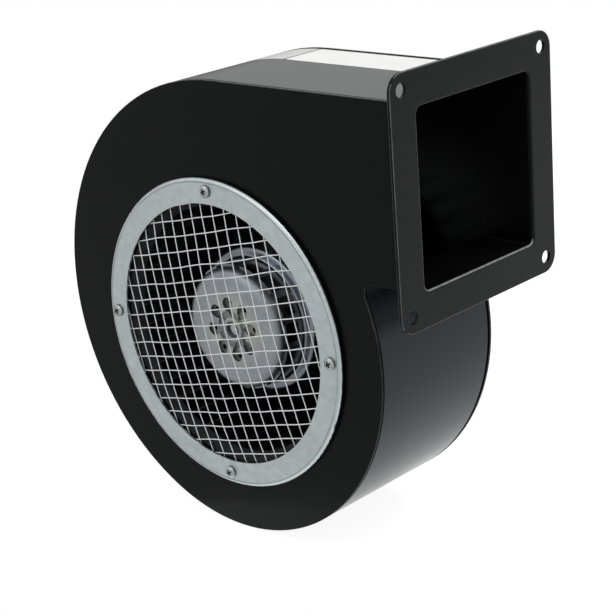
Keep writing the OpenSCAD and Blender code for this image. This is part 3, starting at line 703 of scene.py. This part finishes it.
class BLOWER_OT_side_plates(bpy.types.Operator):
    """Gives both side plates their rounded cut edges"""

    bl_idname = "blower.side_plates"
    bl_label = "Side plates"

    # Shares of lighter paint on the plates' edges, partly wear and partly a painted highlight: upper edges
    # most, as they face the light.
    nozzle_wear, rim_wear, top_wear, low_wear = 0.14, 0.22, 0.5, 0.06

    def execute(self, context):
        edge = context.scene.blower_sizes.edge
        for node in ("inlet_side_plate", "motor_side_plate"):
            piece = rounded(copy_of(node), edge, 3)

            def thin(place, way):
                """Lighter edges, as wear and as a painted highlight: the inlet plate's upper edges most, the
                motor plate's rim less, the nozzle a little.
                """
                if abs(way.y) > 0.97:
                    return 0
                if off_shaft(place) < RING_RADIUS:
                    return self.nozzle_wear
                if node == "motor_side_plate":
                    return self.rim_wear * (abs(way.y) < 0.5)
                return (abs(way.y) > 0.15) * (self.top_wear if way.z > 0.15 else self.low_wear)

            noted(piece, "edge", thin)
            noted(piece, "inside", lambda place, way: (
                off_shaft(place) < RING_RADIUS - 4 * MM and abs(way.y) < 0.99))
            dressed(piece, HOUSING, "black_paint", node)
        return {"FINISHED"}


class BLOWER_OT_flange(bpy.types.Operator):
    """Gives the outlet flange its soft paint edges"""

    bl_idname = "blower.flange"
    bl_label = "Outlet flange"

    margin = 2 * MM
    frame_width = 14 * MM

    def execute(self, context):
        piece = rounded(copy_of("outlet_flange"), context.scene.blower_sizes.flange_edge, 3)
        outline = corners("outlet_flange")[1].y

        def thin(place, way):
            """The outline, lighter as wear and as a painted highlight, and a painted highlight on the lower
            and the left lip of the opening, which face the light.
            """
            reach = max(abs(place.y), abs(place.z))
            if reach > outline - self.margin:
                return 0.6 * (0.15 < abs(way.x) < 0.97)
            lip = reach < outline - self.frame_width
            return lip and 0.35 < way.x < 0.9 and max(way.z, 0.8 * way.y) > 0.3

        dressed(noted(piece, "edge", thin), HOUSING, "flange_paint", "outlet_flange")
        return {"FINISHED"}


# ---- Geometry Nodes ----


class Tree(Nodes):
    """A geometry node tree that stands its shape round the shaft."""

    def __init__(self, name, **inputs):
        super().__init__(bpy.data.node_groups.new(name, "GeometryNodeTree"))
        face = self.tree.interface
        face.new_socket("Geometry", in_out="INPUT", socket_type="NodeSocketGeometry")
        self.names = {}
        for title, kind in inputs.items():
            made = face.new_socket(title, in_out="INPUT", socket_type="NodeSocket" + kind)
            self.names[title] = made.identifier
        face.new_socket("Geometry", in_out="OUTPUT", socket_type="NodeSocketGeometry")
        self.start = self.tree.nodes.new("NodeGroupInput")

    def given(self, title):
        """One of the tree's inputs."""
        return Value(self, self.start.outputs[title])

    def leg(self, slope, other):
        """The third side of a triangle with a right angle, or nought where there is none."""
        square = self.maths("POWER", slope, 2.0) - self.maths("POWER", other, 2.0)
        return self.maths("SQRT", self.maths("MAXIMUM", square, 0.0))

    def vector(self, **parts):
        """A vector from its parts X, Y and Z."""
        return self.node("ShaderNodeCombineXYZ", parts)

    def line(self, start, step):
        """A row of points along Y, as many as the tree's count."""
        return self.node("GeometryNodeMeshLine", {
            "Count": self.given("Count"), "Start Location": self.vector(Y=start),
            "Offset": self.vector(Y=step)}, mode="OFFSET")

    def close(self, shape, slot):
        """Real mesh with its material, turned to the inlet and led to the output at the tree's depth."""
        place = self.vector(X=SHAFT.x, Y=self.given("Depth") * -1.0, Z=SHAFT.z)
        shape = self.node("GeometryNodeTransform", {
            "Geometry": shape, "Translation": place, "Rotation": (math.pi / 2, 0, 0)})
        shape = self.node("GeometryNodeRealizeInstances", {0: shape})
        shape = self.node("GeometryNodeSetMaterial", {"Geometry": shape, "Material": material(slot)})
        self.lead_out("NodeGroupOutput", shape)

    def run(self, piece, **values):
        """Runs the tree on a piece and leaves plain mesh."""
        modifier = piece.modifiers.new("Pattern", "NODES")
        modifier.node_group = self.tree
        for name, value in values.items():
            modifier[self.names[name]] = value
        return settled(piece)


def ring_tree(slot):
    """Repeats the piece round the shaft and puts it in its place along it."""
    tree = Tree("Round_the_shaft_" + slot, Count="Int", Radius="Float", Start="Float", Depth="Float")
    moved = tree.node("GeometryNodeTransform", {
        "Geometry": tree.given("Geometry"), "Translation": tree.vector(X=tree.given("Radius"))})
    step = tree.maths("DIVIDE", 2 * math.pi, tree.given("Count"))
    turn = tree.node("GeometryNodeInputIndex") * step + tree.given("Start")
    tree.close(tree.node("GeometryNodeInstanceOnPoints", {
        "Points": tree.line(0.0, 0.0), "Instance": moved, "Rotation": tree.vector(Z=turn)}), slot)
    return tree


def round_shaft(name, mesh, body, slot, node, count, radius, start, depth):
    """A ring of like pieces that stands for a node."""
    piece = put(name, mesh)
    ring_tree(slot).run(piece, Count=count, Radius=radius, Start=start, Depth=depth)
    return dressed(polished(piece, 40), body, slot, node)


def lathe(name, profile):
    """A closed shape turned round z from a list of (radius, z)."""
    work = bmesh.new()
    segments = 40
    rings = []
    for radius, z in profile:
        if radius < 1e-7:
            rings.append([work.verts.new((0, 0, z))])
        else:
            ways = [2 * math.pi * i / segments for i in range(segments)]
            rings.append([work.verts.new((radius * math.cos(w), radius * math.sin(w), z)) for w in ways])
    pairs = list(zip(rings, rings[1:]))
    if len(rings[0]) > 1 and len(rings[-1]) > 1:
        pairs.append((rings[-1], rings[0]))
    for a, b in pairs:
        for i in range(segments):
            j = (i + 1) % segments
            face = [a[i % len(a)], a[j % len(a)], b[j % len(b)], b[i % len(b)]]
            work.faces.new(list(dict.fromkeys(face)))
    return closed(work, name)


def screw_profile(thread, length, radius, height):
    """Half section of a pan-head screw, from its tip to the top of its head."""
    chamfer = 0.4 * MM
    groove = 0.16 * MM
    pitch = 0.7 * MM
    profile = [(0, -length), (thread / 2 - chamfer, -length), (thread / 2, -length + chamfer)]
    for i in range(int((length - 0.6 * MM) / pitch)):
        z = -length + chamfer + i * pitch
        profile += [(thread / 2, z + 0.05 * MM), (thread / 2 - groove, z + pitch / 2)]
    edge = 0.42 * height
    dome = (radius ** 2 + (height - edge) ** 2) / (2 * (height - edge))
    profile += [(thread / 2 - 0.02 * MM, -0.05 * MM), (thread / 2, 0), (radius - 0.1 * MM, 0),
                (radius, 0.12 * MM), (radius, edge * 0.8)]
    start = math.asin(min(1, radius / dome))
    for i in range(7):
        way = start * (1 - i / 7) * 0.97
        profile.append((dome * math.sin(way), height - dome + dome * math.cos(way)))
    return profile + [(0, height)]


def cross_bar(turn, half, wide, low, high):
    """A cutter for one bar of a screw's cross, which tapers down from high to low."""
    work = bmesh.new()
    top = [(-half, -wide), (half, -wide), (half, wide), (-half, wide)]
    rows = [[work.verts.new((x * s, y * (0.55 + 0.45 * s), z)) for x, y in top]
            for s, z in ((0.38, low), (1.0, high))]
    work.faces.new(rows[0][::-1])
    work.faces.new(rows[1])
    for i in range(4):
        j = (i + 1) % 4
        work.faces.new([rows[0][i], rows[0][j], rows[1][j], rows[1][i]])
    bmesh.ops.rotate(work, verts=work.verts, matrix=Matrix.Rotation(turn, 3, "Z"))
    return put("Cutter", closed(work, "Cutter"))


def pan_head(name, thread, length, head_d, head_h):
    """A pan-head screw with a cross recess: the head stands on z = 0."""
    body = put(name, lathe(name, screw_profile(thread, length, head_d / 2, head_h)))
    for turn in (0, math.pi / 2):
        cutter = cross_bar(turn, head_d * 0.31, head_d * 0.085, head_h * 0.28, head_h + 0.3 * MM)
        cut = body.modifiers.new("Recess", "BOOLEAN")
        cut.operation = "DIFFERENCE"
        cut.solver = "EXACT"
        cut.object = cutter
        settled(body)
        bpy.data.objects.remove(cutter)

    def soiled(place, way):
        """Painted shade in the cross, and a painted contact shadow round the rim of the head where it stands
        on the sheet.
        """
        away = place.xy.length / head_d
        cross = away < 0.34 and (abs(way.z) < 0.6 or place.z < head_h / 2)
        rim = away > 0.42 and abs(way.z) < 0.5
        return (0.95 * cross or 0.85 * rim) * (place.z > 0)

    noted(body, "recess", soiled)
    mesh = body.data
    bpy.data.objects.remove(body)
    return mesh


class BLOWER_OT_guard(bpy.types.Operator):
    """Lays the two layers of bowed guard wires"""

    bl_idname = "blower.guard"
    bl_label = "Wire guard"

    wire_points, wire_sides = 49, 10

    def execute(self, context):
        sizes = context.scene.blower_guard
        tree = self.wires()
        bow = (sizes.radius ** 2 + sizes.bow ** 2) / (2 * sizes.bow)
        work = bmesh.new()
        for quarter, shift, lift in ((1, -sizes.upright_shift, 0.5), (0, sizes.level_shift, 1.5)):
            layer = put("Guard_layer", bpy.data.meshes.new("Guard_layer"))
            tree.run(layer, Radius=sizes.radius, Wire=sizes.wire / 2, Pitch=sizes.pitch, Shift=shift,
                     Bow=bow, Depth=lift * sizes.wire + FRONT, Stray=sizes.stray,
                     Count=2 * int((sizes.radius - abs(shift)) / sizes.pitch) + 1,
                     Turn=sizes.turn + quarter * math.pi / 2)
            work.from_mesh(layer.data)
            bpy.data.objects.remove(layer)
        piece = put("Wire_guard", closed(work, "Wire_guard"))
        dressed(polished(piece, 60), HOUSING, "guard_wire", "wire_guard")
        return {"FINISHED"}

    def wires(self):
        """The tree for one layer: lines across the ring that stray a little, bowed and made round."""
        tree = Tree("Guard_wires", Radius="Float", Wire="Float", Pitch="Float", Shift="Float",
                    Bow="Float", Depth="Float", Stray="Float", Turn="Float", Count="Int")
        radius, wire, pitch, bow = (tree.given(name) for name in ("Radius", "Wire", "Pitch", "Bow"))
        first = (tree.given("Count") - 1.0) * -0.5 * pitch + tree.given("Shift")
        line = tree.node("GeometryNodeCurvePrimitiveLine", {"Start": (-1, 0, 0), "End": (1, 0, 0)})
        line = tree.node("GeometryNodeResampleCurve", {"Curve": line, "Count": self.wire_points})
        place = tree.node("GeometryNodeInputPosition")
        across = tree.node("ShaderNodeSeparateXYZ", {0: place}, "Y")
        reach = tree.leg(radius, across) - wire * 2.0
        wires = tree.node("GeometryNodeInstanceOnPoints", {
            "Points": tree.line(first, pitch), "Instance": line, "Scale": tree.vector(X=reach, Y=1.0, Z=1.0)})
        wires = tree.node("GeometryNodeRealizeInstances", {0: wires})
        height = tree.leg(bow, tree.length(place)) - tree.leg(bow, radius)
        noise = tree.node("ShaderNodeTexNoise", {"Vector": place, "Scale": 38.0, "Detail": 0.0})
        sideways = (noise * 2.0 - 1.0) * tree.given("Stray")
        wires = tree.node("GeometryNodeSetPosition", {
            "Geometry": wires, "Offset": tree.vector(Y=sideways, Z=height)})
        profile = tree.node("GeometryNodeCurvePrimitiveCircle", {
            "Resolution": self.wire_sides, "Radius": wire})
        wires = tree.node("GeometryNodeCurveToMesh", {
            "Curve": wires, "Profile Curve": profile, "Fill Caps": True})
        tree.close(tree.node("GeometryNodeTransform", {
            "Geometry": wires, "Rotation": tree.vector(Z=tree.given("Turn"))}), "guard_wire")
        return tree


class BLOWER_OT_ring(bpy.types.Operator):
    """Gives the clamping ring its rounded edges"""

    bl_idname = "blower.ring"
    bl_label = "Clamping ring"

    def execute(self, context):
        piece = rounded(copy_of("inlet_ring", "Clamping_ring"), 0.22 * MM)
        dressed(piece, HOUSING, "galvanised", "inlet_ring")
        return {"FINISHED"}


class BLOWER_OT_fasteners(bpy.types.Operator):
    """Drives the screws in the ring and the motor, with the motor's washers"""

    bl_idname = "blower.fasteners"
    bl_label = "Screws and washers"

    count = 4
    thread, head = 4 * MM, 7.6 * MM
    cross_turn = math.radians(30)
    washer_hole, washer_rim, washer_chamfer = 2.25 * MM, 4.5 * MM, 0.15 * MM

    def execute(self, context):
        low, high = corners("ring_screws")
        mesh = pan_head("Ring_screws", self.thread, high.y + RING_FACE, self.head, -low.y - RING_FACE)
        mesh.transform(Matrix.Rotation(self.cross_turn, 4, "Z"))
        radius = (extent("ring_screws", "x") - self.head) / 2
        round_shaft("Ring_screws", mesh, HOUSING, "zinc_screw", "ring_screws",
                    self.count, radius, 0, RING_FACE)

        low, high = corners("motor_screws")
        seat = corners("motor_washers")[1].y
        radius = (extent("motor_screws", "x") - self.head) / math.sqrt(2)
        mesh = pan_head("Motor_screws", self.thread, seat - low.y, self.head, high.y - seat)
        mesh.transform(Matrix.Rotation(math.pi, 4, "X"))
        round_shaft("Motor_screws", mesh, HOUSING, "zinc_screw", "motor_screws",
                    self.count, radius, math.pi / 4, -seat)

        thick = extent("motor_washers", "y")
        rim, chamfer = self.washer_rim, self.washer_chamfer
        mesh = lathe("Motor_washers", [
            (self.washer_hole, 0), (rim - chamfer, 0), (rim, chamfer), (rim, thick - chamfer),
            (rim - chamfer, thick), (self.washer_hole, thick)])
        round_shaft("Motor_washers", mesh, HOUSING, "zinc_screw", "motor_washers",
                    self.count, radius, math.pi / 4, -seat)
        return {"FINISHED"}


class BLOWER_OT_drum(bpy.types.Operator):
    """Sets the blades between the drum's rims and dresses the hub and the end ring"""

    bl_idname = "blower.drum"
    bl_label = "Drum impeller"

    radius = 92 * MM
    root_gap, tip_gap = 0.2 * MM, 0.12 * MM

    def execute(self, context):
        sizes = context.scene.blower_impeller
        rear = corners("impeller_blades")[1].y
        round_shaft("Blades", self.blade(sizes, extent("impeller_blades", "y")), IMPELLER,
                    "impeller_steel", "impeller_blades", sizes.blades, 0, 0, -rear)
        for node, name, look in (("impeller_hub", "Drum_hub", "hub_steel"),
                                 ("impeller_end_ring", "Drum_end_ring", "impeller_steel")):
            piece = rounded(copy_of(node, name), 0.25 * MM)
            dressed(piece, IMPELLER, "impeller_steel", node, look=look)
        return {"FINISHED"}

    def blade(self, sizes, length):
        """One blade, bent to a part of a circle, that stands on z = 0 in its place round the shaft."""
        root = self.radius - sizes.depth
        start = math.asin(self.root_gap / sizes.bend)
        end = math.asin((sizes.depth - self.tip_gap) / sizes.bend)
        work = bmesh.new()
        skins = []
        for side in (0.5, -0.5):
            radius = sizes.bend + side * sizes.sheet
            points = [(root + radius * math.sin(w), radius * math.cos(w) - sizes.bend)
                      for w in steps(start, end, 8)]
            skins.append([[work.verts.new((x, y, z)) for z in (0, length)] for x, y in points])
        slab(work, *skins)
        return closed(work, "Blades")


class BLOWER_OT_motor(bpy.types.Operator):
    """Dresses the rotor, the motor flange and the cable grommet"""

    bl_idname = "blower.motor"
    bl_label = "Motor"

    face_radius = 28 * MM
    recess_depth = 0.9 * MM
    # Shares of painted shade in the recesses: on their floors, and more on their walls.
    floor_soil, wall_soil = 0.5, 0.95

    def execute(self, context):
        for node, body, slot, edge in (
                ("rotor_cup", IMPELLER, "die_cast", 0.3 * MM),
                ("motor_flange", HOUSING, "die_cast", 0.3 * MM),
                ("cable_grommet", HOUSING, "rubber", 0.5 * MM)):
            piece = rounded(copy_of(node), edge)
            if node == "rotor_cup":
                self.shade(piece, corners(node)[0].y)
            dressed(piece, body, slot, node)
        return {"FINISHED"}

    def shade(self, piece, face):
        """Notes painted shade for the rotor's recesses, darkest on their walls, and for its rounded side,
        which turns away from the light.
        """
        def soiled(place, way):
            sunk = place.y > face + self.recess_depth and off_shaft(place) < self.face_radius
            return sunk * (self.floor_soil if way.y < -0.9 else self.wall_soil)

        def side(place, way):
            return (off_shaft(place) > self.face_radius) * min(1, max(0, (way.y + 0.985) * 3))

        noted(piece, "recess", soiled)
        noted(piece, "wall", side)


class BLOWER_OT_label(bpy.types.Operator):
    """Sticks the bare label on the top of the wrap"""

    bl_idname = "blower.label"
    bl_label = "Bare label"

    front, back, gap = 22 * MM, 176 * MM, 0.2 * MM
    inner_side, outer_side = 12.5 * MM, 44.7 * MM
    thick, corner = 0.12 * MM, 1.5 * MM

    def execute(self, context):
        half = self.gap / 2
        self.field("Label_white", "label", context, -self.front, half - LABEL_SPLIT)
        # The back field lies over the arc and is the same film in painted shade.
        self.field("Label_grey", "label_grey", context, -half - LABEL_SPLIT, -self.back)
        return {"FINISHED"}

    def field(self, name, look, context, start, end):
        """One field of the label, bent over the wrap, from x = start back to x = end."""
        sizes = context.scene.blower_sizes
        top = -SHAFT.z + sizes.duct / 2 + sizes.lap
        radius = top - sizes.high_z
        corner = self.corner

        def lifted(x, lift):
            """A point on the wrap at a length along it, given as if the wrap were flat."""
            over = x - SHAFT.x - sizes.high_x
            if over > 0:
                return x, top + lift
            way = math.pi / 2 - over / radius
            return (SHAFT.x + sizes.high_x + (radius + lift) * math.cos(way),
                    sizes.high_z + (radius + lift) * math.sin(way))

        def across(x):
            """Even places across the label, drawn in where its corners are round."""
            near = min(start - x, x - end, corner)
            inset = corner - math.sqrt(max(corner ** 2 - (corner - near) ** 2, 0))
            return steps(self.inner_side + inset, self.outer_side - inset, 10)

        cuts = sorted({start - corner * 0.3, start - corner, end + corner * 0.3, end + corner}
                      | set(steps(start, end, 40)[1:-1]) | {start, end})
        work = bmesh.new()
        skins = []
        for lift in (0.02 * MM, self.thick):
            lines = [(lifted(x, lift), across(x)) for x in cuts]
            skins.append([[work.verts.new((px, y, SHAFT.z + pz)) for y in line] for (px, pz), line in lines])
        slab(work, *skins)
        dressed(polished(put(name, closed(work, name)), 50), HOUSING, "insulator_plastic", look=look)


class BLOWER_OT_solids(bpy.types.Operator):
    """Gives every solid that is still shown the finish of its slot"""

    bl_idname = "blower.solids"
    bl_label = "Other solids"

    def execute(self, context):
        for name, piece in frame["nodes"].items():
            if piece.hide_render:
                continue
            slot = piece.data.materials[0].name.split(".")[0]
            if slot not in FINISHES:
                raise RuntimeError(f"{name} has no finish for {slot}")
            piece.material_slots[0].material = material(slot)
        return {"FINISHED"}


class BLOWER_OT_stage(bpy.types.Operator):
    """Sets the floor, the lights, the sky and the camera"""

    bl_idname = "blower.stage"
    bl_label = "Stage"

    def execute(self, context):
        scene = context.scene
        scene.view_settings.view_transform = "Standard"
        scene.view_settings.look = "None"
        self.floor()
        self.world(scene)
        self.lights()
        self.camera(scene)
        return {"FINISHED"}

    def floor(self):
        """A pale floor, a little under the scroll, that ends in front of the inlet."""
        low = CAD_BOX[0][2] - 0.3 * MM
        outline = ((-0.15, -0.09), (0.9, -0.2), (1.9, 0.5), (1.9, 1.9), (0.1, 1.9),
                   (-0.75, 0.75), (-0.75, 0.30))
        mesh = bpy.data.meshes.new("Floor")
        mesh.from_pydata([(x, y, low) for x, y in outline], [], [tuple(range(len(outline)))])
        floor = put("Floor", mesh)
        look = bpy.data.materials.new("Finish_floor")
        look.use_nodes = True
        recipe = Recipe(look.node_tree)
        tone = recipe.noise(recipe.place(), 3, 2)
        recipe.surface(Base_Color=recipe.blend(tone, (0.20, 0.20, 0.20), (0.22, 0.22, 0.22)),
                       Roughness=0.9, Specular_IOR_Level=0.0,
                       Emission_Color=(1.0, 1.0, 1.0), Emission_Strength=0.91)
        mesh.materials.append(look)

    def world(self, scene):
        """A white room, dimmer in front of the inlet and dark under the horizon behind."""
        world = bpy.data.worlds.new("Room")
        scene.world = world
        world.use_nodes = True
        recipe = Recipe(world.node_tree)
        way = recipe.node("ShaderNodeTexCoord", output="Generated")
        split = recipe.node("ShaderNodeSeparateXYZ", {0: way})
        ahead = recipe.spread(split.part("Z"), -0.5, 0.8, 0.54, 0.84)
        behind = recipe.spread(split.part("Z"), -0.12, 0.42, 0.12, 1.15)
        level = ahead + recipe.spread(split.part("Y"), -0.25, 0.35) * (behind - ahead)
        seen = recipe.node("ShaderNodeLightPath", output="Is Camera Ray")
        level = seen + (1 - seen) * level
        sky = recipe.node("ShaderNodeBackground", {"Color": (1, 1, 1), "Strength": level})
        recipe.lead_out("ShaderNodeOutputWorld", sky)

    def lights(self):
        """Three soft boxes that face the blower's middle."""
        middle = Vector((-0.14, 0, -0.08))
        for name, place, size, power in (
                ("Key_light", (0.35, 0.1, 1.5), (1.6, 1.2), 9),
                ("Side_light", (-0.6, -1.25, 0.95), (0.8, 0.8), 2),
                ("Edge_light", (0.38, 1.05, 0.92), (0.35, 0.25), 2.6)):
            lamp = bpy.data.lights.new(name, "AREA")
            lamp.shape = "RECTANGLE"
            lamp.size, lamp.size_y = size
            lamp.energy = power
            made = put(name, lamp)
            made.location = place
            made.rotation_euler = (middle - Vector(place)).to_track_quat("-Z", "Y").to_euler()

    def camera(self, scene):
        """A long lens, a little above the outlet and in front of the inlet."""
        camera = bpy.data.cameras.new("Camera")
        camera.lens = 100.35
        camera.sensor_width = 36
        made = put("Camera", camera)
        right = Vector((0.738608, 0.670415, -0.070724))
        up = Vector((-0.168893, 0.285589, 0.943353))
        turn = Matrix((right, up, right.cross(up))).transposed().to_4x4()
        made.matrix_world = Matrix.Translation((0.540330, -0.705291, 0.237709)) @ turn
        scene.camera = made


class BLOWER_PT_panel(bpy.types.Panel):
    """Lists the steps that dress the blower"""

    bl_idname = "BLOWER_PT_panel"
    bl_label = "Radial blower"
    bl_space_type = "VIEW_3D"
    bl_region_type = "UI"
    bl_category = "Blower"

    def draw(self, context):
        for step in STEPS:
            self.layout.operator(step.bl_idname)
        for name in GROUPS:
            group = getattr(context.scene, name)
            box = self.layout.box()
            for size in group.__annotations__:
                box.prop(group, size)


STEPS = (BLOWER_OT_wrap, BLOWER_OT_side_plates, BLOWER_OT_flange, BLOWER_OT_guard, BLOWER_OT_ring,
         BLOWER_OT_fasteners, BLOWER_OT_drum, BLOWER_OT_motor, BLOWER_OT_label, BLOWER_OT_solids,
         BLOWER_OT_stage)
GROUPS = {"blower_sizes": BlowerSizes, "blower_guard": GuardSizes, "blower_impeller": ImpellerSizes,
          "blower_colours": FinishColours}


def register():
    for kind in (*GROUPS.values(), *STEPS, BLOWER_PT_panel):
        bpy.utils.register_class(kind)
    for name, kind in GROUPS.items():
        setattr(bpy.types.Scene, name, PointerProperty(type=kind))


def unregister():
    for name in GROUPS:
        delattr(bpy.types.Scene, name)
    for kind in (BLOWER_PT_panel, *reversed(STEPS), *reversed(list(GROUPS.values()))):
        bpy.utils.unregister_class(kind)


def main():
    register()
    for step in STEPS:
        area, name = step.bl_idname.split(".")
        getattr(getattr(bpy.ops, area), name)()


if __name__ == "__main__":
    main()
